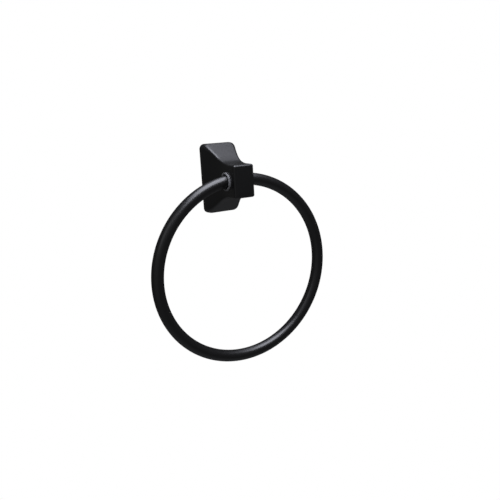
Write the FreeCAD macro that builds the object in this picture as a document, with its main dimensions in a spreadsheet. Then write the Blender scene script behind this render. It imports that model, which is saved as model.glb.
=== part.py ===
import FreeCAD, Part
import Sketcher
import math
import os

os.makedirs("parts", exist_ok=True)
doc = FreeCAD.newDocument("towel_ring")
V = FreeCAD.Vector

# Frame: X to the right along the wall, Y into the wall, Z up, wall plane at y = 0,
# origin in the middle of the base's back face. The post stands out towards -Y.

# Driving dimensions, in millimetres.
sizes = {
    "baseWidth": 31.6,             # width of the post at the wall
    "baseHeight": 58.9,            # height of the post at the wall
    "noseWidth": 18.2,             # width of the post at its front
    "noseHeight": 26.6,            # height of the post at its front
    "postDepth": 48.0,             # how far the post stands out from the wall
    "rimDepth": 5.5,               # straight rim of the base before the flares start
    "flareShare": 0.77,            # radius of the tall flares against one without a ramp
    "noseFlat": 8.5,               # straight length of the nose in front of the tall flares
    "sideFlat": 20.0,              # straight length of the nose in front of the side flares
    "rimRound": 4.4,               # corner radius of the base outline
    "ridgeRound": 1.6,             # radius along the ridges between flares and sides
    "frontRound": 1.7,             # radius round the front face
    "wallThick": 2.5,              # thickness of the cast wall
    "coreRound": 1.2,              # corner radius inside the casting at its mouth
    "hoopSpan": 153.2,             # hoop diameter measured to the middle of the tube
    "tubeSize": 9.8,               # outside diameter of the hoop tube
    "tubeSkin": 1.2,               # wall thickness of the hoop tube
    "seamWidth": 2.0,              # gap between the butt ends inside the post
    "boreBehind": 13.6,            # distance of the bore axis behind the front face
    "boreUp": -0.1,                # height of the bore axis over the base middle
    "playGap": 1.2,                # radial play between the tube and the eyelet
    "sleeveSkin": 1.0,             # thickness of the eyelet sleeve
    "sleeveLong": 5.0,             # length of the eyelet sleeve behind its flange
    "flangeLip": 1.1,              # how far the eyelet flange reaches past the sleeve
    "flangeThick": 1.2,            # thickness of the eyelet flange
    "flangeRound": 0.4,            # rounding round the outer edge of the flange
    "fitGap": 0.1,                 # radial clearance round sleeves and screws
    "plateThick": 1.5,             # thickness of the bracket sheet
    "plateStep": 5.0,              # how far the tabs stand past the wide part of the sheet
    "plateGap": 0.3,               # clearance between the bracket and the casting
    "tabGap": 2.5,                 # clearance between the bracket tabs and the casting
    "tabDeep": 6.4,                # how far the bracket tabs reach from the wall
    "tabWidth": 16.0,              # width of the bracket tabs
    "bendRound": 1.0,              # inside radius of the bracket bends
    "holePitch": 30.0,             # distance between the two wall screw holes
    "holeSize": 4.5,               # diameter of the wall screw holes
    "screwSize": 3.0,              # diameter of the set screw
    "screwOut": 3.0,               # distance of the set screw from the wall
    "screwLong": 6.6,              # length of the set screw
    "screwSunk": 0.4,              # how deep the set screw sits in its hole
    "keySize": 1.5,                # hexagon socket across the flats
    "keyDeep": 1.8,                # depth of the hexagon socket
    "trimPast": 6.0,               # how far trimming outlines reach past the form
}

# Sizes that follow from them.
following = {
    # distance from the wall where the tall flares meet the nose
    "flareEnd": "postDepth - noseFlat",
    # distance from the wall where the side flares meet the nose
    "sideFlareEnd": "postDepth - sideFlat",
    # distance of the bore axis from the wall
    "boreOut": "postDepth - boreBehind",
    # height of one tall flare
    "flareRise": "(baseHeight - noseHeight) / 2",
    # length of one tall flare along the post
    "flareRun": "flareEnd - rimDepth",
    # radius of the tall flares, tangent to their straight ramp and to the nose
    "flareRadius": "flareShare * (flareRun ^ 2 + flareRise ^ 2) / (2 * flareRise)",
    # slope of the ramps, as the tangent of half their angle
    "halfSlope": "tan((asin(flareRadius / sqrt(flareRun ^ 2 + (flareRadius - flareRise) ^ 2))"
        " - atan((flareRadius - flareRise) / flareRun)) / 2)",
    # width of one side flare
    "sideRise": "(baseWidth - noseWidth) / 2",
    # radius of the side flares, tangent to the sides
    "sideRadius": "((sideFlareEnd - rimDepth) ^ 2 + sideRise ^ 2) / (2 * sideRise)",
    # where the inner tall flares start, and their radius
    "coreStart": "rimDepth - wallThick * halfSlope",
    "coreRadius": "flareRadius + wallThick",
    # where the inner side flares start
    "coreSideStart": "sideFlareEnd - sqrt((sideRadius + wallThick) ^ 2"
        " - (sideRadius + wallThick - sideRise) ^ 2)",
    # width of the hollow at the wall
    "coreWidth": "baseWidth - 2 * wallThick",
    # height of the hollow at the wall
    "coreHeight": "baseHeight - 2 * wallThick",
    # width of the hollow in the nose
    "coreNoseWidth": "noseWidth - 2 * wallThick",
    # height of the hollow in the nose
    "coreNoseHeight": "noseHeight - 2 * wallThick",
    # depth of the hollow
    "coreDepth": "postDepth - wallThick",
    # bore of the eyelet
    "eyeletBore": "tubeSize + 2 * playGap",
    # outside diameter of the sleeve
    "sleeveSize": "eyeletBore + 2 * sleeveSkin",
    # half of the bow of the hoop between the outer ends of the eyelets
    "bowMean": "((noseWidth / 2 + fitGap + flangeThick) ^ 2) / (2 * hoopSpan)",
    # height of the middle of the tube at the top
    "hoopTop": "boreUp + bowMean",
    # height of the hoop's own middle
    "hoopCentre": "hoopTop - hoopSpan / 2",
}

sheet = doc.addObject("Spreadsheet::Sheet", "Sizes")
row = 0
for alias, value in list(sizes.items()) + list(following.items()):
    row += 1
    sheet.set("A%d" % row, alias)
    sheet.set("B%d" % row, ("=" + value) if alias in following else str(value))
    sheet.setAlias("B%d" % row, alias)
doc.recompute()


def val(alias):
    return float(sheet.get(alias))


def originPlane(body, role):
    return [o for o in body.Origin.OriginFeatures if o.Role == role][0]


def newSketch(body, name, role):
    sk = body.newObject("Sketcher::SketchObject", name)
    sk.AttachmentSupport = [(originPlane(body, role), "")]
    sk.MapMode = "FlatFace"
    return sk


def bind(sk, constraint, name, formula):
    # Adds a dimension and ties it to the sheet by name.
    index = sk.addConstraint(constraint)
    sk.renameConstraint(index, name)
    sk.setExpression("Constraints.%s" % name, formula)


def sheetWords(text):
    # Puts the sheet's name before every alias word of a formula.
    words = ""
    word = ""
    for letter in text + " ":
        if letter.isalpha():
            word += letter
            continue
        if word and word[0].islower() and word not in ("sqrt", "pi"):
            word = "Sizes." + word
        words += word + letter
        word = ""
    return words.strip()


def tie(sk, kind, args, name, formula):
    bind(sk, Sketcher.Constraint(kind, *args), name, sheetWords(formula))


def flareSketch(body, name, tall, nose, start, end, depth, radius, role):
    # Closed outline with a straight rim, straight ramps, concave arcs that run tangent
    # from the ramps into the nose, and a flat front. Height runs along the second axis.
    H, h, t, s, P = val(tall) / 2, val(nose) / 2, val(start), val(end), val(depth)
    rad = val(radius)
    slope = 2 * math.atan(val("halfSlope"))
    # where the ramp meets the arc
    x1, z1 = s - rad * math.sin(slope), h + rad * (1 - math.cos(slope))
    sk = newSketch(body, name, role)

    def line(x0, y0, x1, y1):
        return sk.addGeometry(Part.LineSegment(V(x0, y0, 0), V(x1, y1, 0)), False)

    line(0, -H, 0, H)
    line(0, H, -t, H)
    line(-t, H, -x1, z1)
    circle = Part.Circle(V(-s, h + rad, 0), V(0, 0, 1), rad)
    sk.addGeometry(Part.ArcOfCircle(circle, -math.pi / 2, slope - math.pi / 2), False)
    line(-s, h, -P, h)
    line(-P, h, -P, -h)
    line(-P, -h, -s, -h)
    circle = Part.Circle(V(-s, -h - rad, 0), V(0, 0, 1), rad)
    sk.addGeometry(Part.ArcOfCircle(circle, math.pi / 2 - slope, math.pi / 2), False)
    line(-x1, -z1, -t, -H)
    line(-t, -H, 0, -H)
    join = Sketcher.Constraint
    for a, b, c, d in ((0, 2, 1, 1), (1, 2, 2, 1), (4, 2, 5, 1),
                       (5, 2, 6, 1), (8, 2, 9, 1), (9, 2, 0, 1)):
        sk.addConstraint(join("Coincident", a, b, c, d))
    sk.addConstraint(join("Tangent", 3, 2, 2, 2))
    sk.addConstraint(join("Tangent", 3, 1, 4, 1))
    sk.addConstraint(join("Tangent", 7, 2, 6, 2))
    sk.addConstraint(join("Tangent", 7, 1, 8, 1))
    for edge in (1, 4, 6, 9):
        sk.addConstraint(join("Horizontal", edge))
    sk.addConstraint(join("PointOnObject", 0, 1, -2))
    sk.addConstraint(join("Symmetric", 0, 1, 0, 2, -1))
    sk.addConstraint(join("Symmetric", 5, 1, 5, 2, -1))
    sk.addConstraint(join("Equal", 1, 9))
    sk.addConstraint(join("Equal", 4, 6))
    sk.addConstraint(join("Equal", 3, 7))
    tie(sk, "DistanceY", (0, 1, 0, 2, 2 * H), "outerHeight", tall)
    tie(sk, "DistanceY", (5, 2, 5, 1, 2 * h), "noseHeight", nose)
    tie(sk, "DistanceX", (1, 2, 1, 1, t), "rimDepth", start)
    tie(sk, "DistanceX", (4, 1, -1, 1, s), "flareEnd", end)
    tie(sk, "DistanceX", (5, 1, -1, 1, P), "depth", depth)
    tie(sk, "Radius", (3, rad), "flareRadius", radius)
    return sk


def flareTrim(body, name, wide, nose, start, end, depth):
    # Two mirrored regions beside the narrow form, drawn in plan.
    W, w, t, s, P = val(wide) / 2, val(nose) / 2, val(start), val(end), val(depth)
    rise = W - w
    rad = ((s - t) ** 2 + rise ** 2) / (2 * rise)
    turn = math.atan2(rise - rad, s - t)
    sk = newSketch(body, name, "XY_Plane")
    out = val("trimPast")
    join = Sketcher.Constraint
    for side in (1, -1):
        base = sk.GeometryCount
        corners = ((w, -s), (w, -P - out), (W + out, -P - out), (W + out, -t), (W, -t))
        for k in range(4):
            a, b = corners[k], corners[k + 1]
            ends = V(side * a[0], a[1], 0), V(side * b[0], b[1], 0)
            sk.addGeometry(Part.LineSegment(*ends), False)
        circle = Part.Circle(V(side * (w + rad), -s, 0), V(0, 0, 1), rad)
        if side > 0:
            first, last = math.pi / 2 - turn, math.pi
        else:
            first, last = 0.0, math.pi / 2 + turn
        sk.addGeometry(Part.ArcOfCircle(circle, first, last), False)
        rimEnd, noseEnd = (1, 2) if side > 0 else (2, 1)
        for k in range(3):
            sk.addConstraint(join("Coincident", base + k, 2, base + k + 1, 1))
        sk.addConstraint(join("Coincident", base + 3, 2, base + 4, rimEnd))
        sk.addConstraint(join("Tangent", base + 4, noseEnd, base, 1))
        sk.addConstraint(join("Vertical", base))
        sk.addConstraint(join("Horizontal", base + 1))
        sk.addConstraint(join("Vertical", base + 2))
        sk.addConstraint(join("Horizontal", base + 3))
        tag = "Right" if side > 0 else "Left"
        near, far = (-1, 1), (base, 1)
        if side < 0:
            near, far = far, near
        tie(sk, "DistanceX", near + far + (w,), "nose" + tag, nose + " / 2")
        near, far = (-1, 1), (base + 3, 2)
        if side < 0:
            near, far = far, near
        tie(sk, "DistanceX", near + far + (W,), "wide" + tag, wide + " / 2")
        near, far = (-1, 1), (base + 3, 1)
        if side < 0:
            near, far = far, near
        tie(sk, "DistanceX", near + far + (W + out,), "past" + tag,
            wide + " / 2 + trimPast")
        tie(sk, "DistanceY", (base + 3, 2, -1, 1, t), "start" + tag, start)
        tie(sk, "DistanceY", (base, 1, -1, 1, s), "end" + tag, end)
        tie(sk, "DistanceY", (base + 1, 1, -1, 1, P + out), "front" + tag,
            depth + " + trimPast")
    return sk


def padBoth(body, name, sk, formula):
    pad = body.newObject("PartDesign::Pad", name)
    pad.Profile = sk
    pad.Midplane = True
    pad.setExpression("Length", sheetWords(formula))
    sk.Visibility = False
    doc.recompute()
    return pad


def pocketBoth(body, name, sk, formula):
    cut = body.newObject("PartDesign::Pocket", name)
    cut.Profile = sk
    cut.Midplane = True
    cut.setExpression("Length", sheetWords(formula))
    sk.Visibility = False
    doc.recompute()
    return cut


def roundEdges(body, name, base, wanted, formula):
    # Rounds the edges of the last feature that the given test picks out.
    names = []
    for index, edge in enumerate(base.Shape.Edges):
        if wanted(edge.BoundBox):
            names.append("Edge%d" % (index + 1))
    fillet = body.newObject("PartDesign::Fillet", name)
    fillet.Base = (base, names)
    fillet.setExpression("Radius", sheetWords(formula))
    doc.recompute()
    return fillet


# The casting's outside: the tall outline, trimmed in plan to the narrow one.
outside = doc.addObject("PartDesign::Body", "PostOutside")
tallOutline = flareSketch(outside, "TallOutline", "baseHeight", "noseHeight",
                          "rimDepth", "flareEnd", "postDepth", "flareRadius", "YZ_Plane")
block = padBoth(outside, "TallForm", tallOutline, "baseWidth")
sideRegions = flareTrim(outside, "SideRegions", "baseWidth", "noseWidth",
                        "rimDepth", "sideFlareEnd", "postDepth")
trimmed = pocketBoth(outside, "SideTrim", sideRegions, "baseHeight + trimPast")
noseX, noseZ, rimY = val("noseWidth") / 2, val("noseHeight") / 2, -val("rimDepth")


def onRidge(box):
    return (abs(box.Center.x) > noseX - 0.1 and abs(box.Center.z) > noseZ - 0.1
            and box.YLength > 0.5)


rimRounded = roundEdges(outside, "RimCorners", trimmed,
                        lambda b: onRidge(b) and b.YMin > rimY - 0.1, "rimRound")
ridged = roundEdges(outside, "Ridges", rimRounded,
                    lambda b: onRidge(b) and b.YMin < rimY - 0.5 and b.YMax < rimY + 0.1,
                    "ridgeRound")
frontY = -val("postDepth")
fronted = roundEdges(outside, "FrontEdge", ridged,
                     lambda b: b.YMax < frontY + 0.01, "frontRound")

boreSketch = newSketch(outside, "BoreCircle", "YZ_Plane")
boreRadius = val("sleeveSize") / 2 + val("fitGap")
boreSketch.addGeometry(Part.Circle(V(-val("boreOut"), val("boreUp"), 0), V(0, 0, 1), boreRadius))
tie(boreSketch, "DistanceX", (0, 3, -1, 1, val("boreOut")), "out", "boreOut")
tie(boreSketch, "DistanceY", (-1, 1, 0, 3, val("boreUp")), "up", "boreUp")
tie(boreSketch, "Diameter", (0, 2 * boreRadius), "across", "sleeveSize + 2 * fitGap")
bored = pocketBoth(outside, "CrossBore", boreSketch, "baseWidth")

keyway = newSketch(outside, "SetScrewCircle", "XY_Plane")
holeRadius = val("screwSize") / 2 + val("fitGap")
keyway.addGeometry(Part.Circle(V(0, -val("screwOut"), 0), V(0, 0, 1), holeRadius))
keyway.addConstraint(Sketcher.Constraint("PointOnObject", 0, 3, -2))
tie(keyway, "DistanceY", (0, 3, -1, 1, val("screwOut")), "out", "screwOut")
tie(keyway, "Diameter", (0, 2 * holeRadius), "across", "screwSize + 2 * fitGap")
screwHole = outside.newObject("PartDesign::Pocket", "SetScrewHole")
screwHole.Profile = keyway
screwHole.Type = "ThroughAll"
keyway.Visibility = False
doc.recompute()

# The hollow: the same two outlines, moved in by the wall thickness.
core = doc.addObject("PartDesign::Body", "PostCore")
coreOutline = flareSketch(core, "CoreTallOutline", "coreHeight", "coreNoseHeight",
                          "coreStart", "flareEnd", "coreDepth", "coreRadius", "YZ_Plane")
coreBlock = padBoth(core, "CoreTallForm", coreOutline, "coreWidth")
coreRegions = flareTrim(core, "CoreSideRegions", "coreWidth", "coreNoseWidth",
                        "coreSideStart", "sideFlareEnd", "coreDepth")
coreTrimmed = pocketBoth(core, "CoreSideTrim", coreRegions, "baseHeight + trimPast")
coreSide = val("coreWidth") / 2 - 0.1
coreRounded = roundEdges(core, "CoreCorners", coreTrimmed,
                         lambda b: abs(b.Center.x) > coreSide and b.YMax > -0.01
                         and b.YLength > 0.5 and b.ZLength < 0.01, "coreRound")

post = doc.addObject("Part::Cut", "PostCasting")
post.Base = outside
post.Tool = core
post.Label = "post"
doc.recompute()

# The hoop: a ring of tube turned round its own middle, open where the two
# butt ends face each other inside the post.
hoopBody = doc.addObject("PartDesign::Body", "HoopBody")
tube = newSketch(hoopBody, "TubeSection", "YZ_Plane")
low = val("hoopCentre") - val("hoopSpan") / 2
tube.addGeometry(Part.Circle(V(-val("boreOut"), low, 0), V(0, 0, 1), val("tubeSize") / 2))
tube.addGeometry(Part.Circle(V(-val("boreOut"), low, 0), V(0, 0, 1),
                             val("tubeSize") / 2 - val("tubeSkin")))
middle = val("hoopCentre")
axisFar, axisNear = val("boreOut") + val("tubeSize"), val("boreOut") - val("tubeSize")
tube.addGeometry(Part.LineSegment(V(-axisFar, middle, 0), V(-axisNear, middle, 0)), True)
tube.addConstraint(Sketcher.Constraint("Coincident", 0, 3, 1, 3))
tube.addConstraint(Sketcher.Constraint("Horizontal", 2))
tie(tube, "DistanceX", (0, 3, -1, 1, val("boreOut")), "out", "boreOut")
tie(tube, "DistanceY", (0, 3, 2, 1, val("hoopSpan") / 2), "reach", "hoopSpan / 2")
tie(tube, "DistanceY", (2, 1, -1, 1, -middle), "drop", "0 - hoopCentre")
tie(tube, "DistanceX", (2, 1, -1, 1, axisFar), "axisFar", "boreOut + tubeSize")
tie(tube, "DistanceX", (2, 2, -1, 1, axisNear), "axisNear", "boreOut - tubeSize")
tie(tube, "Diameter", (0, val("tubeSize")), "outerSize", "tubeSize")
tie(tube, "Diameter", (1, val("tubeSize") - 2 * val("tubeSkin")), "innerSize",
    "tubeSize - 2 * tubeSkin")
hoop = hoopBody.newObject("PartDesign::Revolution", "HoopTurn")
hoop.Profile = tube
hoop.ReferenceAxis = (tube, ["Axis0"])
hoop.Midplane = True
hoop.setExpression("Angle", sheetWords("360 - seamWidth / hoopSpan * 360 / pi"))
tube.Visibility = False
hoopBody.Label = "ring"
doc.recompute()


def eyelet(name, label, side):
    # Flanged bushing: flange outside the nose, sleeve through its side wall.
    body = doc.addObject("PartDesign::Body", name)
    sk = newSketch(body, name + "Section", "XY_Plane")
    face = val("noseWidth") / 2 + val("fitGap")
    inner, outer = val("eyeletBore") / 2, val("sleeveSize") / 2
    lip = outer + val("flangeLip")
    thick, long = val("flangeThick"), val("sleeveLong")
    axis = -val("boreOut")
    pts = [(face + thick, inner), (face + thick, lip), (face, lip), (face, outer),
           (face - long, outer), (face - long, inner)]
    for k in range(6):
        a, b = pts[k], pts[(k + 1) % 6]
        ends = V(side * a[0], axis + a[1], 0), V(side * b[0], axis + b[1], 0)
        sk.addGeometry(Part.LineSegment(*ends), False)
    for k in range(6):
        sk.addConstraint(Sketcher.Constraint("Coincident", k, 2, (k + 1) % 6, 1))
        kind = "Vertical" if k % 2 == 0 else "Horizontal"
        sk.addConstraint(Sketcher.Constraint(kind, k))
    ends = V(side * (face - long), axis, 0), V(side * (face + thick), axis, 0)
    if side < 0:
        ends = ends[1], ends[0]
    sk.addGeometry(Part.LineSegment(*ends), True)
    sk.addConstraint(Sketcher.Constraint("Horizontal", 6))
    tie(sk, "DistanceY", (6, 1, -1, 1, -axis), "out", "boreOut")

    def across(point, amount, word, formula):
        args = (-1, 1) + point if side > 0 else point + (-1, 1)
        tie(sk, "DistanceX", args + (amount,), word, formula)

    across((1, 2), face, "face", "noseWidth / 2 + fitGap")
    across((0, 1), face + thick, "proud", "noseWidth / 2 + fitGap + flangeThick")
    across((4, 1), face - long, "inside", "noseWidth / 2 + fitGap - sleeveLong")
    across((6, 1) if side > 0 else (6, 2), face - long, "axisNear",
           "noseWidth / 2 + fitGap - sleeveLong")
    across((6, 2) if side > 0 else (6, 1), face + thick, "axisFar",
           "noseWidth / 2 + fitGap + flangeThick")
    tie(sk, "DistanceY", (6, 1, 0, 1, inner), "bore", "eyeletBore / 2")
    tie(sk, "DistanceY", (6, 1, 0, 2, lip), "lip", "sleeveSize / 2 + flangeLip")
    tie(sk, "DistanceY", (6, 1, 2, 2, outer), "sleeve", "sleeveSize / 2")
    body.Placement.Base = V(0, 0, val("boreUp"))
    body.setExpression("Placement.Base.z", "Sizes.boreUp")
    turn = body.newObject("PartDesign::Revolution", name + "Turn")
    turn.Profile = sk
    turn.ReferenceAxis = (sk, ["Axis0"])
    turn.Angle = 360
    sk.Visibility = False
    doc.recompute()
    proud = face + thick - 0.01
    roundEdges(body, name + "Edge", turn,
               lambda b: abs(b.Center.x) > proud and b.YLength > lip + outer, "flangeRound")
    body.Label = label
    doc.recompute()
    return body


leftEyelet = eyelet("LeftEyelet", "left_eyelet", -1)
rightEyelet = eyelet("RightEyelet", "right_eyelet", 1)

# The wall bracket: a flat sheet with a bent tab at its top and bottom edge.
bracket = doc.addObject("PartDesign::Body", "WallBracket")
channel = newSketch(bracket, "TabOutline", "YZ_Plane")
thick, deep = val("plateThick"), val("tabDeep")
top = val("coreHeight") / 2 - val("tabGap")
inside = top - thick
pts = [(0, -top), (0, top), (-deep, top), (-deep, inside),
       (-thick, inside), (-thick, -inside), (-deep, -inside), (-deep, -top)]
for k in range(8):
    a, b = pts[k], pts[(k + 1) % 8]
    channel.addGeometry(Part.LineSegment(V(a[0], a[1], 0), V(b[0], b[1], 0)), False)
for k in range(8):
    channel.addConstraint(Sketcher.Constraint("Coincident", k, 2, (k + 1) % 8, 1))
    if k % 2 == 1:
        channel.addConstraint(Sketcher.Constraint("Horizontal", k))
channel.addConstraint(Sketcher.Constraint("Vertical", 2))
channel.addConstraint(Sketcher.Constraint("Vertical", 6))
channel.addConstraint(Sketcher.Constraint("PointOnObject", 0, 1, -2))
channel.addConstraint(Sketcher.Constraint("Symmetric", 0, 1, 0, 2, -1))
channel.addConstraint(Sketcher.Constraint("Symmetric", 4, 1, 4, 2, -1))
channel.addConstraint(Sketcher.Constraint("Equal", 1, 7))
tie(channel, "DistanceY", (0, 1, 0, 2, 2 * top), "plateTall", "coreHeight - 2 * tabGap")
tie(channel, "DistanceY", (4, 2, 4, 1, 2 * inside), "betweenTabs",
    "coreHeight - 2 * tabGap - 2 * plateThick")
tie(channel, "DistanceX", (1, 2, 1, 1, deep), "tabDeep", "tabDeep")
tie(channel, "DistanceX", (4, 1, -1, 1, thick), "plateThick", "plateThick")
sheetForm = padBoth(bracket, "BentSheet", channel, "tabWidth")
bend = roundEdges(bracket, "BendInside", sheetForm,
                  lambda b: b.XLength > 5 and abs(b.Center.y + thick) < 0.01
                  and b.YLength < 0.01, "bendRound")
bendOut = roundEdges(bracket, "BendOutside", bend,
                     lambda b: b.XLength > 5 and abs(b.Center.y) < 0.01
                     and b.YLength < 0.01, "bendRound + plateThick")

plate = newSketch(bracket, "PlateOutline", "XZ_Plane")
halfX = val("coreWidth") / 2 - val("plateGap")
halfZ = top - val("plateStep")
for a, b in (((-halfX, -halfZ), (halfX, -halfZ)), ((halfX, -halfZ), (halfX, halfZ)),
             ((halfX, halfZ), (-halfX, halfZ)), ((-halfX, halfZ), (-halfX, -halfZ))):
    plate.addGeometry(Part.LineSegment(V(a[0], a[1], 0), V(b[0], b[1], 0)), False)
for k in range(4):
    plate.addConstraint(Sketcher.Constraint("Coincident", k, 2, (k + 1) % 4, 1))
plate.addConstraint(Sketcher.Constraint("Horizontal", 0))
plate.addConstraint(Sketcher.Constraint("Horizontal", 2))
plate.addConstraint(Sketcher.Constraint("Vertical", 1))
plate.addConstraint(Sketcher.Constraint("Vertical", 3))
plate.addConstraint(Sketcher.Constraint("Symmetric", 0, 1, 1, 2, -1, 1))
tie(plate, "DistanceX", (0, 1, 0, 2, 2 * halfX), "plateWide", "coreWidth - 2 * plateGap")
tie(plate, "DistanceY", (1, 1, 1, 2, 2 * halfZ), "plateTall",
    "coreHeight - 2 * tabGap - 2 * plateStep")
platePad = bracket.newObject("PartDesign::Pad", "PlatePad")
platePad.Profile = plate
platePad.setExpression("Length", "Sizes.plateThick")
plate.Visibility = False
doc.recompute()

holes = newSketch(bracket, "WallHoles", "XZ_Plane")
pitch = val("holePitch") / 2
holes.addGeometry(Part.Circle(V(0, pitch, 0), V(0, 0, 1), val("holeSize") / 2))
holes.addGeometry(Part.Circle(V(0, -pitch, 0), V(0, 0, 1), val("holeSize") / 2))
holes.addConstraint(Sketcher.Constraint("Symmetric", 0, 3, 1, 3, -1, 1))
holes.addConstraint(Sketcher.Constraint("PointOnObject", 0, 3, -2))
holes.addConstraint(Sketcher.Constraint("Equal", 0, 1))
tie(holes, "DistanceY", (1, 3, 0, 3, 2 * pitch), "pitch", "holePitch")
tie(holes, "Diameter", (0, val("holeSize")), "across", "holeSize")
wallHoles = pocketBoth(bracket, "WallHolePair", holes, "2 * tabDeep")

tapped = newSketch(bracket, "TabHole", "XY_Plane")
tapped.addGeometry(Part.Circle(V(0, -val("screwOut"), 0), V(0, 0, 1), holeRadius))
tapped.addConstraint(Sketcher.Constraint("PointOnObject", 0, 3, -2))
tie(tapped, "DistanceY", (0, 3, -1, 1, val("screwOut")), "out", "screwOut")
tie(tapped, "Diameter", (0, 2 * holeRadius), "across", "screwSize + 2 * fitGap")
tabHole = bracket.newObject("PartDesign::Pocket", "TabScrewHole")
tabHole.Profile = tapped
tabHole.Type = "ThroughAll"
tapped.Visibility = False
bracket.Label = "wall_bracket"
doc.recompute()

# The set screw under the base: a plain round pin with a hexagon socket.
pin = doc.addObject("Part::Cylinder", "ScrewPin")
pin.setExpression("Radius", "Sizes.screwSize / 2")
pin.setExpression("Height", "Sizes.screwLong")
socket = doc.addObject("Part::Prism", "ScrewSocket")
socket.Polygon = 6
socket.setExpression("Circumradius", "Sizes.keySize / sqrt(3)")
socket.setExpression("Height", "2 * Sizes.keyDeep")
for shape, drop in ((pin, ""), (socket, " - Sizes.keyDeep")):
    shape.setExpression("Placement.Base.y", "0 - Sizes.screwOut")
    shape.setExpression("Placement.Base.z", "0 - Sizes.baseHeight / 2 + Sizes.screwSunk" + drop)
setScrew = doc.addObject("Part::Cut", "SetScrew")
setScrew.Base = pin
setScrew.Tool = socket
setScrew.Label = "set_screw"
doc.recompute()

for item in doc.Objects:
    if "Invalid" in item.State or "Error" in item.State:
        raise RuntimeError("feature did not build: " + item.Name)

nodes = (post, hoopBody, leftEyelet, rightEyelet, bracket, setScrew)
for node in nodes:
    shape = node.Shape
    if shape.isNull() or not shape.isValid() or len(shape.Solids) != 1:
        raise RuntimeError("bad shape: " + node.Label)
    print(node.Label, "volume", round(shape.Volume, 1), "faces", len(shape.Faces))
    box = shape.BoundBox
    print("   from", [round(v, 2) for v in (box.XMin, box.YMin, box.ZMin)],
          "to", [round(v, 2) for v in (box.XMax, box.YMax, box.ZMax)])
    shape.exportStep("parts/%s.step" % node.Label)
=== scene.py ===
import math

import bmesh
import bpy
import numpy as np
from mathutils import Matrix, Vector


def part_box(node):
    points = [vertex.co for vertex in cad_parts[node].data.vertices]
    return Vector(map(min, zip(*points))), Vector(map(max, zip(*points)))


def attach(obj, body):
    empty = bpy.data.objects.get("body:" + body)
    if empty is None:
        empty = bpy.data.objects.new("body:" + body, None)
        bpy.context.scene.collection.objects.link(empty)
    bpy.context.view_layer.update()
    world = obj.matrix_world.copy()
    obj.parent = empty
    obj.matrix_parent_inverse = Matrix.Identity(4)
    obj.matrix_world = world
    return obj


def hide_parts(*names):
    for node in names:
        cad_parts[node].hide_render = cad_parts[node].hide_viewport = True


mm = 0.001
roundSteps = 96                 # points round a turned piece
reliefHeight = 0.02 * mm        # full height of every fine relief in a finish

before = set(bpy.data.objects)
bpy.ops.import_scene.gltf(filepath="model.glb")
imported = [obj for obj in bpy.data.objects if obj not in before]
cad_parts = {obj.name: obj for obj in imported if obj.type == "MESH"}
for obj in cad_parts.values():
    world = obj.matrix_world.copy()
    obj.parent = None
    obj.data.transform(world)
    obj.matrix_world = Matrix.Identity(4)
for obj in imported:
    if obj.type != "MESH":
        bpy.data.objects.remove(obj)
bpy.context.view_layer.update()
bpy.context.scene.view_settings.view_transform = "Standard"
print("towel ring: model loaded")


# meshes

def ringFaces(rows, columns, rowsClose=True):
    # Quads between neighbouring points of a grid stored row by row, each row a closed ring.
    rowSteps = rows if rowsClose else rows - 1
    i, j = np.meshgrid(np.arange(rowSteps), np.arange(columns), indexing="ij")
    nextI, nextJ = (i + 1) % rows, (j + 1) % columns
    return np.stack([i * columns + j, i * columns + nextJ,
                     nextI * columns + nextJ, nextI * columns + j], axis=-1).reshape(-1, 4)


def makePiece(name, points, quads, sharpDegrees=35):
    # Puts a grid into a mesh object, merges its poles and turns its faces outwards.
    mesh = bpy.data.meshes.new(name)
    mesh.from_pydata(points.tolist(), [], quads.tolist())
    work = bmesh.new()
    work.from_mesh(mesh)
    bmesh.ops.remove_doubles(work, verts=work.verts, dist=1e-7)
    bmesh.ops.dissolve_degenerate(work, edges=work.edges, dist=1e-8)
    bmesh.ops.recalc_face_normals(work, faces=work.faces)
    work.to_mesh(mesh)
    work.free()
    piece = bpy.data.objects.new(name, mesh)
    bpy.context.scene.collection.objects.link(piece)
    smoothFaces(mesh, sharpDegrees)
    return piece


def smoothFaces(mesh, sharpDegrees):
    # Shades the faces round, apart from edges that turn by more than the given angle.
    mesh.shade_smooth()
    mesh.set_sharp_from_angle(angle=math.radians(sharpDegrees))


def cutWith(piece, cutter):
    # Cuts one closed piece out of another for good and drops the cutter.
    step = piece.modifiers.new("cut", "BOOLEAN")
    step.operation = "DIFFERENCE"
    step.solver = "EXACT"
    step.object = cutter
    view = bpy.context.evaluated_depsgraph_get()
    whole = bpy.data.meshes.new_from_object(piece.evaluated_get(view))
    piece.modifiers.clear()
    piece.data = whole
    bpy.data.objects.remove(cutter)


def roundBar(name, radius, length, middle, axis):
    # A plain closed bar: circles at its two ends and a point in the middle of each.
    angle = np.linspace(0, 2 * math.pi, roundSteps, endpoint=False)
    along = np.array([-0.5, -0.5, 0.5, 0.5]) * length
    size = np.array([0.0, 1.0, 1.0, 0.0]) * radius
    u = along[:, None] + 0 * angle
    v = size[:, None] * np.cos(angle)
    w = size[:, None] * np.sin(angle)
    order = {"X": (u, v, w), "Z": (v, w, u)}[axis]
    points = (np.stack(order, axis=-1) + np.array(middle)).reshape(-1, 3) * mm
    return makePiece(name, points, ringFaces(4, roundSteps, rowsClose=False))


def dress(piece, body, material):
    # Gives a piece its finish, the body that it rides on and the name of its material slot.
    piece.data.materials.clear()
    piece.data.materials.append(material)
    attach(piece, body)


# shader maths

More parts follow.
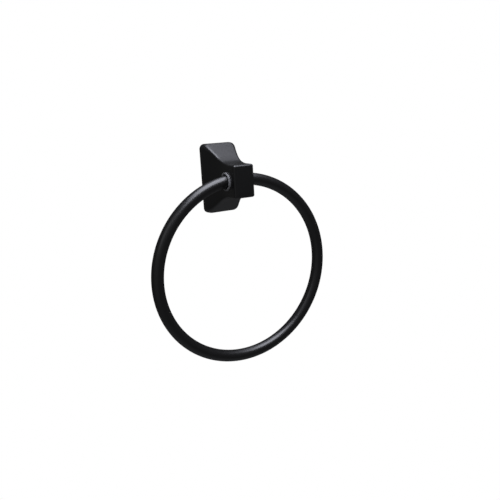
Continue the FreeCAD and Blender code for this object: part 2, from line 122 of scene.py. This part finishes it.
class Wire:
    # A socket with Python's operators, each of which adds its Math node.
    def __init__(self, board, socket):
        self.board, self.socket = board, socket

    def maths(self, operation, first, second):
        return self.board.node("ShaderNodeMath", {"operation": operation}, {0: first, 1: second})

    def __add__(self, other):
        return self.maths("ADD", self, other)

    def __radd__(self, other):
        return self.maths("ADD", other, self)

    def __sub__(self, other):
        return self.maths("SUBTRACT", self, other)

    def __mul__(self, other):
        return self.maths("MULTIPLY", self, other)


class Board:
    # A node tree that adds a node from its type, its settings and its inputs.
    def __init__(self, tree):
        self.tree = tree
        self.tree.nodes.clear()

    def node(self, kind, settings=None, inputs=None, output=0):
        made = self.tree.nodes.new(kind)
        for key, value in (settings or {}).items():
            setattr(made, key, value)
        for key, value in (inputs or {}).items():
            socket = made.inputs[key]
            if isinstance(value, Wire):
                self.tree.links.new(value.socket, socket)
            else:
                socket.default_value = value
        return Wire(self, made.outputs[output]) if made.outputs else made

    def objectPlace(self):
        return self.node("ShaderNodeTexCoord", output="Object")

    def noise(self, place, scale, detail=2.0, roughness=0.5):
        return self.node("ShaderNodeTexNoise", {}, {"Vector": place, "Scale": scale,
                                                    "Detail": detail, "Roughness": roughness})

    def blend(self, share, first, second):
        # From one colour to another; 6, 7 and 2 are the Mix node's colour sockets.
        return self.node("ShaderNodeMix", {"data_type": "RGBA"},
                         {0: share, 6: first + (1,), 7: second + (1,)}, output=2)

    def relief(self, height, strength):
        return self.node("ShaderNodeBump", {}, {"Strength": strength,
                                                "Distance": reliefHeight, "Height": height})

    def surface(self, inputs):
        skin = self.node("ShaderNodeBsdfPrincipled", {}, inputs)
        self.node("ShaderNodeOutputMaterial", {}, {"Surface": skin})

    def seenDirectly(self):
        # 1 for what the camera sees, also through clear things, and 0 for every other ray.
        return (self.node("ShaderNodeLightPath", output="Is Camera Ray")
                + self.node("ShaderNodeLightPath", output="Is Transmission Ray"))


def newMaterial(name):
    material = bpy.data.materials.new(name)
    material.use_nodes = True
    return material, Board(material.node_tree)


def satinCoat(name, look):
    # Baked black coat: a very fine orange peel, slow changes of gloss and a little dust tone.
    material, board = newMaterial(name)
    place = board.objectPlace()
    peel = board.noise(place, look["peelScale"], detail=3.0, roughness=0.55)
    cloud = board.noise(place, look["cloudScale"])
    board.surface({
        "Base Color": board.blend(cloud, look["colour"], look["colourWorn"]),
        "Roughness": look["rough"] + (cloud - 0.5) * look["roughSpread"],
        "Normal": board.relief(peel, look["peelDepth"]), "IOR": look["ior"]})
    return material


blackLook = {
    "colour": (0.0070, 0.0070, 0.0076),
    "colourWorn": (0.0095, 0.0095, 0.0102),
    "rough": 0.29,
    "roughSpread": 0.05,
    "peelScale": 1400.0,
    "cloudScale": 70.0,
    "peelDepth": 0.12,
    "ior": 1.9,
}
postCoat = satinCoat("satinBlackPost", blackLook)
hoopCoat = satinCoat("satinBlackHoop", dict(blackLook, rough=0.32))


def mouldedPlastic(name, look):
    # Moulded nylon: soft sheen, faint mottling.
    material, board = newMaterial(name)
    mottle = board.noise(board.objectPlace(), look["mottleScale"], detail=3.0)
    board.surface({
        "Base Color": board.blend(mottle, look["dark"], look["light"]),
        "Roughness": look["rough"] + mottle * look["roughSpread"],
        "Normal": board.relief(mottle, look["mottleDepth"]), "IOR": look["ior"]})
    return material


eyeletLook = {
    "dark": (0.40, 0.40, 0.415),
    "light": (0.48, 0.48, 0.495),
    "rough": 0.52,
    "roughSpread": 0.06,
    "mottleScale": 500.0,
    "mottleDepth": 0.2,
    "ior": 1.53,
}
eyeletPlastic = mouldedPlastic("greyNylon", eyeletLook)


def rolledSteel(name, look):
    # Zinc-plated sheet: fine rolling lines along the sheet and soft grey blotches.
    material, board = newMaterial(name)
    place = board.objectPlace()
    stretched = board.node("ShaderNodeMapping", {}, {"Vector": place,
                                                     "Scale": look["lineScale"]})
    lines = board.noise(stretched, 1.0, detail=4.0)
    blotch = board.noise(place, look["blotchScale"])
    board.surface({
        "Base Color": board.blend(blotch, look["dark"], look["light"]), "Metallic": 1.0,
        "Roughness": look["rough"] + lines * look["roughSpread"],
        "Normal": board.relief(lines, look["lineDepth"])})
    return material


zincLook = {
    "dark": (0.50, 0.51, 0.53),
    "light": (0.66, 0.66, 0.67),
    "rough": 0.32,
    "roughSpread": 0.12,
    "lineScale": (2600.0, 300.0, 60.0),
    "lineDepth": 0.3,
    "blotchScale": 160.0,
}
zincSteel = rolledSteel("zincSheet", zincLook)
screwSteel = rolledSteel("blackenedScrew", dict(zincLook, dark=(0.07, 0.07, 0.075),
                                                light=(0.13, 0.13, 0.135), rough=0.36))
print("towel ring: finishes made")


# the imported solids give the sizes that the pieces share

def solidBox(node):
    # Size and middle of a solid's box, in millimetres.
    low, high = (np.array(corner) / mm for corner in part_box(node))
    return high - low, (high + low) / 2


postSize = solidBox("post")[0]
hoopSize, hoopMiddle = solidBox("ring")
eyeSize, eyeMiddle = solidBox("right_eyelet")
screwMiddle = solidBox("set_screw")[1]
eyeFlange = 1.2                 # thickness of the solid eyelets' flange
eyeBack, eyeDown = 0.3, 0.3     # the eyelets' shift from there, to the wall and down


# the post

post = {
    "baseWidth": postSize[0] + 0.2, "baseHeight": postSize[2] + 0.05,  # at the wall
    "noseWidth": 18.2, "noseHeight": 26.6,                             # at the front
    "depth": postSize[1],
    "rim": 5.5, "sideRim": 4.7,                            # where the flares start
    "flareEnd": postSize[1] - 8.5, "sideFlareEnd": 32.5,   # where the flares run out
    "rampSlope": 34.6,                                     # degrees
    "cornerBase": 4.3, "cornerRim": 5.5,                   # radius at the wall, at the rim
    "cornerFlare": 1.9, "cornerNose": 1.7,                 # and along the ridges
    "cornerFade": 3.5,                                     # from the rim's to the ridges'
    "leastCorner": 0.3,
    "backRound": 0.35, "rimSoft": 0.6, "frontRound": 1.7,
    "wall": 2.5,
    "boreOut": -eyeMiddle[1] - eyeBack, "boreUp": eyeMiddle[2] - eyeDown,
    "boreRadius": 7.0, "boreLong": 60.0,
    "screwOut": -screwMiddle[1], "screwRadius": 1.6, "screwLong": 12.0,
}


def sideFlare(s, size):
    # Half width at distance s from the wall: a concave arc from the rim that runs tangent
    # into the nose.
    rise = (size["baseWidth"] - size["noseWidth"]) / 2
    run = size["sideFlareEnd"] - size["sideRim"]
    radius = (run ** 2 + rise ** 2) / (2 * rise)
    along = np.maximum(size["sideFlareEnd"] - s, 0.0)
    return size["noseWidth"] / 2 + radius - np.sqrt(radius ** 2 - along ** 2)


def tallFlare(s, size):
    # Half height at distance s from the wall: a straight ramp from the rim, then a concave
    # arc tangent to the ramp and to the nose.
    rise = (size["baseHeight"] - size["noseHeight"]) / 2
    run = size["flareEnd"] - size["rim"]
    slope = math.radians(size["rampSlope"])
    radius = (run * math.tan(slope) - rise) / (1 / math.cos(slope) - 1)
    bend = size["flareEnd"] - radius * math.sin(slope)
    along = np.clip(size["flareEnd"] - s, 0.0, radius * math.sin(slope))
    arc = size["noseHeight"] / 2 + radius - np.sqrt(radius ** 2 - along ** 2)
    return arc + np.maximum(bend - s, 0.0) * math.tan(slope)


def softMin(a, b, width):
    # The lower of two values, with a smooth bend of the given width between them.
    near = np.maximum(width - np.abs(a - b), 0.0) / width
    return np.minimum(a, b) - near ** 2 * width * 0.25


def roundedSection(halfWide, halfTall, corner, arcPoints=9, sidePoints=9, endPoints=13):
    # Points round a rectangle with rounded corners, for a whole column of sizes at once:
    # each corner is a quarter circle, and the sides between are divided evenly.
    turn = np.linspace(0, math.pi / 2, arcPoints)
    xs, zs = [], []
    signs = ((1, 1), (-1, 1), (-1, -1), (1, -1))
    for k, (sx, sz) in enumerate(signs):
        angle = turn + k * math.pi / 2
        xs.append(sx * (halfWide - corner)[:, None] + corner[:, None] * np.cos(angle))
        zs.append(sz * (halfTall - corner)[:, None] + corner[:, None] * np.sin(angle))
    ringX, ringZ = [], []
    for k in range(4):
        ringX.append(xs[k])
        ringZ.append(zs[k])
        count = endPoints if k % 2 else sidePoints
        share = np.linspace(0, 1, count + 2)[1:-1]
        nextK = (k + 1) % 4
        ringX.append(xs[k][:, -1:] * (1 - share) + xs[nextK][:, :1] * share)
        ringZ.append(zs[k][:, -1:] * (1 - share) + zs[nextK][:, :1] * share)
    return np.hstack(ringX), np.hstack(ringZ)


def postSkin(size, inset, stations):
    # Sections of the post at the given distances from the wall, moved in by inset.
    wide = softMin(np.full_like(stations, size["baseWidth"] / 2),
                   sideFlare(stations, size), size["rimSoft"])
    tall = softMin(np.full_like(stations, size["baseHeight"] / 2),
                   tallFlare(stations, size), size["rimSoft"])
    past = np.clip(stations - size["rim"], 0, None)
    share = np.minimum(past / (size["flareEnd"] - size["rim"]), 1)
    corner = size["cornerFlare"] + (size["cornerNose"] - size["cornerFlare"]) * share
    rim = size["cornerRim"] + (size["cornerBase"] - size["cornerRim"]) * np.clip(
        1 - stations / size["rim"], 0, 1)
    corner += (rim - size["cornerFlare"]) * np.exp(-past / size["cornerFade"])
    return wide - inset, tall - inset, np.maximum(corner - inset, size["leastCorner"])


def makePost(size):
    # Outside from the wall to the middle of the front, then the hollow's skin back again.
    depth, soft, front = size["depth"], size["rimSoft"], size["frontRound"]
    backTurn = np.linspace(0, math.pi / 2, 4)[:-1]
    backStations = size["backRound"] * (1 - np.cos(backTurn))
    backInset = size["backRound"] * (1 - np.sin(backTurn))
    stations = np.concatenate([
        np.linspace(size["backRound"], size["rim"] - soft, 4),
        np.linspace(size["rim"] - soft, size["rim"] + soft * 2, 16)[1:],
        np.linspace(size["rim"] + soft * 2, size["sideFlareEnd"], 26)[1:],
        np.linspace(size["sideFlareEnd"], size["flareEnd"], 44)[1:]])
    wide, tall, corner = postSkin(size, 0.0, stations)
    frontTurn = np.linspace(0, math.pi / 2, 9)
    frontStations = depth - front + front * np.sin(frontTurn)
    frontInset = front * (1 - np.cos(frontTurn))
    noseWide, noseTall = size["noseWidth"] / 2, size["noseHeight"] / 2
    faceShare = np.array([0.75, 0.5, 0.25, 0.0])
    s = np.concatenate([backStations, stations, frontStations,
                        np.full(len(faceShare), depth)])
    wide = np.concatenate([size["baseWidth"] / 2 - backInset, wide, noseWide - frontInset,
                           (noseWide - front) * faceShare])
    tall = np.concatenate([size["baseHeight"] / 2 - backInset, tall, noseTall - frontInset,
                           (noseTall - front) * faceShare])
    corner = np.concatenate([size["cornerBase"] - backInset, corner,
                             size["cornerNose"] - frontInset,
                             size["leastCorner"] * faceShare])

    innerEnd = depth - size["wall"]
    innerS = np.concatenate([np.linspace(0, size["sideFlareEnd"], 16),
                             np.linspace(size["sideFlareEnd"], innerEnd, 22)[1:]])
    innerSkin = postSkin(size, size["wall"], innerS)
    innerShare = np.array([0.66, 0.33, 0.0])
    innerS = np.concatenate([innerS, np.full(len(innerShare), innerEnd)])[::-1]
    innerWide, innerTall, innerCorner = (
        np.concatenate([skin, skin[-1] * innerShare])[::-1] for skin in innerSkin)

    x, z = roundedSection(np.concatenate([wide, innerWide]),
                          np.concatenate([tall, innerTall]),
                          np.concatenate([corner, innerCorner]))
    y = -np.concatenate([s, innerS])[:, None] + np.zeros_like(x)
    points = np.stack([x, y, z], axis=-1).reshape(-1, 3) * mm
    piece = makePiece("postShell", points, ringFaces(x.shape[0], x.shape[1]))
    cutWith(piece, roundBar("boreCutter", size["boreRadius"], size["boreLong"],
                            (0, -size["boreOut"], size["boreUp"]), "X"))
    cutWith(piece, roundBar("screwCutter", size["screwRadius"], size["screwLong"],
                            (0, -size["screwOut"], -size["baseHeight"] / 2), "Z"))
    smoothFaces(piece.data, sharpDegrees=40)
    return piece


postPiece = makePost(post)
dress(postPiece, "fixture", postCoat)
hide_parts("post")
print("towel ring: post made,", len(postPiece.data.polygons), "faces")


# the hoop

hoop = {
    "tube": hoopSize[1] / 2 + 0.15,                      # outer radius of the tube
    "radius": (hoopSize[0] - hoopSize[1]) / 2 + 0.3,     # to the middle of the tube
    "skin": 1.2,
    "seam": 2.0,                                         # gap between the butt ends
    "out": -hoopMiddle[1],
    "middle": hoopMiddle[2] + 0.25,
    "aside": 1.9,                                        # it slid to the right in its eyelets
}


def makeHoop(size, steps=420, sectionPoints=56):
    # A circle of tube: the tube's section turned round the hoop's middle, open at the top
    # where its butt ends face each other; outside skin, end, bore skin, end.
    halfGap = size["seam"] / 2 / size["radius"]
    path = np.linspace(halfGap, 2 * math.pi - halfGap, steps)
    turn = np.linspace(0, 2 * math.pi, sectionPoints, endpoint=False)
    inner = size["tube"] - size["skin"]
    angle = np.concatenate([path[:1], path, path[-1:], path[::-1]])
    radius = np.concatenate([[inner], np.full(steps, size["tube"]), [inner],
                             np.full(steps, inner)])
    reach = size["radius"] + radius[:, None] * np.cos(turn)
    x = size["aside"] + reach * np.sin(angle)[:, None]
    z = reach * np.cos(angle)[:, None] + size["middle"]
    y = -size["out"] + radius[:, None] * np.sin(turn)
    points = np.stack([x, y, z], axis=-1).reshape(-1, 3) * mm
    return makePiece("hoopTube", points, ringFaces(len(angle), sectionPoints))


hoopPiece = makeHoop(hoop)
dress(hoopPiece, "hoop", hoopCoat)
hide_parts("ring")
print("towel ring: hoop made,", len(hoopPiece.data.polygons), "faces")


# the eyelets

eyelet = {
    "flange": eyeSize[2] / 2 - 0.7, "sleeve": eyeSize[2] / 2 - 1.3,    # radii
    "bore": eyeSize[2] / 2 - 1.8, "mouth": 6.1,
    "thick": 1.35, "lipRound": 0.55, "mouthRound": 0.35,               # the flange's lip
    "long": eyeSize[0] - eyeFlange, "mouthLong": 0.4,                  # into the post
    "face": eyeMiddle[0] + eyeSize[0] / 2 - eyeFlange,
    "out": -eyeMiddle[1] - eyeBack, "up": eyeMiddle[2] - eyeDown,
}


def makeEyelet(name, side, size):
    # The bushing's closed outline turned once round the bore axis: a flat lip with rounded
    # edges, its mouth a little narrower than the bore behind it.
    turn = np.linspace(0, math.pi / 2, 7)
    proud, lip, mouth, bore = size["thick"], size["flange"], size["mouth"], size["bore"]
    soft, fine, sleeve = size["lipRound"], size["mouthRound"], size["sleeve"]
    deep, neck = -size["long"], -size["mouthLong"]
    along = np.concatenate([proud - fine + fine * np.sin(turn),
                            proud - soft + soft * np.cos(turn),
                            [0.0, 0.0, deep, deep, neck, neck]])
    radius = np.concatenate([mouth + fine - fine * np.cos(turn),
                             lip - soft + soft * np.sin(turn),
                             [lip, sleeve, sleeve, bore, bore, mouth]])
    angle = np.linspace(0, 2 * math.pi, roundSteps, endpoint=False)
    x = side * (size["face"] + along)[:, None] + 0 * angle
    y = -size["out"] + radius[:, None] * np.cos(angle)
    z = size["up"] + radius[:, None] * np.sin(angle)
    points = np.stack([x, y, z], axis=-1).reshape(-1, 3) * mm
    return makePiece(name, points, ringFaces(len(along), roundSteps))


for name, node, side in (("eyeletLeft", "left_eyelet", -1), ("eyeletRight", "right_eyelet", 1)):
    bushing = makeEyelet(name, side, eyelet)
    dress(bushing, "fixture", eyeletPlastic)
    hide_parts(node)
print("towel ring: eyelets made")


# bracket and set screw keep their own shapes

for node, material in (("wall_bracket", zincSteel), ("set_screw", screwSteel)):
    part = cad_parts[node]
    part.data.materials.clear()
    part.data.materials.append(material)


# studio

studio = {
    "floorDown": 1.5, "floorHalf": 6.0,     # metres below the base's middle, half its width
    "floorShade": 0.8,
    "around": 0.05,                         # what comes from every other side
    "lamps": {                  # towards it, distance, width, depth, brightness, tint
        "keyPanel": ((0.03, -0.36, 0.93), 0.62, 0.50, 0.68, 3.4, (0.88, 0.90, 1.0)),
        "topPanel": ((0.30, 0.03, 0.95), 0.75, 1.0, 0.72, 0.64, (0.87, 0.885, 1.0)),
        "frontPanel": ((-0.10, -0.74, 0.66), 0.90, 0.6, 0.5, 0.28, (0.90, 0.92, 1.0)),
        "leftPanel": ((-0.78, -0.42, 0.46), 0.90, 0.5, 0.5, 0.30, (0.95, 0.96, 1.0)),
        "leftFill": ((-0.75, -0.62, 0.05), 1.2, 1.6, 1.6, 0.04, (1.0, 1.0, 1.0)),
    },
}


def makeStudio(look):
    # A pale floor and white surroundings that only the camera sees, and the light panels.
    floorMesh = bpy.data.meshes.new("floor")
    half, down = look["floorHalf"], -look["floorDown"]
    floorMesh.from_pydata([(-half, -half, down), (half, -half, down),
                           (half, half, down), (-half, half, down)], [], [(0, 1, 2, 3)])
    floor = bpy.data.objects.new("floor", floorMesh)
    bpy.context.scene.collection.objects.link(floor)
    material, board = newMaterial("paleFloor")
    matt = board.node("ShaderNodeBsdfDiffuse", {}, {"Color": (look["floorShade"],) * 3 + (1,)})
    white = board.node("ShaderNodeEmission", {}, {"Color": (1, 1, 1, 1), "Strength": 1.0})
    both = board.node("ShaderNodeMixShader", {}, {0: board.seenDirectly(), 1: matt, 2: white})
    board.node("ShaderNodeOutputMaterial", {}, {"Surface": both})
    floorMesh.materials.append(material)

    world = bpy.data.worlds.new("studio")
    bpy.context.scene.world = world
    world.use_nodes = True
    board = Board(world.node_tree)
    level = look["around"] + board.seenDirectly() * (1 - look["around"])
    sky = board.node("ShaderNodeBackground", {}, {"Color": (1, 1, 1, 1), "Strength": level})
    board.node("ShaderNodeOutputWorld", {}, {"Surface": sky})

    # A panel that shines evenly with brightness b gives pi * area * b watts.
    for name, (towards, away, wide, deep, bright, tint) in look["lamps"].items():
        light = bpy.data.lights.new(name, "AREA")
        light.shape, light.size, light.size_y = "RECTANGLE", wide, deep
        light.energy, light.color = math.pi * wide * deep * bright, tint
        panel = bpy.data.objects.new(name, light)
        bpy.context.scene.collection.objects.link(panel)
        direction = Vector(towards).normalized()
        panel.location = direction * away
        panel.rotation_euler = direction.to_track_quat("Z", "Y").to_euler()
        panel.visible_camera = False


makeStudio(studio)

camera = {
    "left": 28.40, "above": 13.94, "tilt": -3.16,     # degrees
    "aside": -27.74, "up": 63.32, "away": 466.4,      # base middle seen from the camera, mm
    "focal": 535.3, "frame": 500,                     # pixels
    "sensor": 36.0, "nearest": 0.01,                  # millimetres, metres
}


def makeCamera(view):
    # Looks along a level direction turned and raised by two angles, then rolled; it stands
    # where the base's middle falls aside, up and away by the three lengths.
    turn, rise = math.radians(view["left"]), math.radians(view["above"])
    roll = math.radians(view["tilt"])
    back = np.array([-math.sin(turn) * math.cos(rise), -math.cos(turn) * math.cos(rise),
                     math.sin(rise)])
    right = np.cross(-back, (0, 0, 1))
    right /= np.linalg.norm(right)
    up = np.cross(right, -back)
    rolledRight = math.cos(roll) * right + math.sin(roll) * up
    rolledUp = -math.sin(roll) * right + math.cos(roll) * up
    place = -(view["aside"] * rolledRight + view["up"] * rolledUp - view["away"] * back) * mm
    data = bpy.data.cameras.new("view")
    data.sensor_width = view["sensor"]
    data.lens = view["focal"] / view["frame"] * view["sensor"]
    data.clip_start = view["nearest"]
    eye = bpy.data.objects.new("view", data)
    bpy.context.scene.collection.objects.link(eye)
    axes = np.eye(4)
    axes[:3, 0], axes[:3, 1], axes[:3, 2], axes[:3, 3] = rolledRight, rolledUp, back, place
    eye.matrix_world = Matrix(axes.tolist())
    bpy.context.scene.camera = eye


makeCamera(camera)
print("towel ring: studio and camera ready")
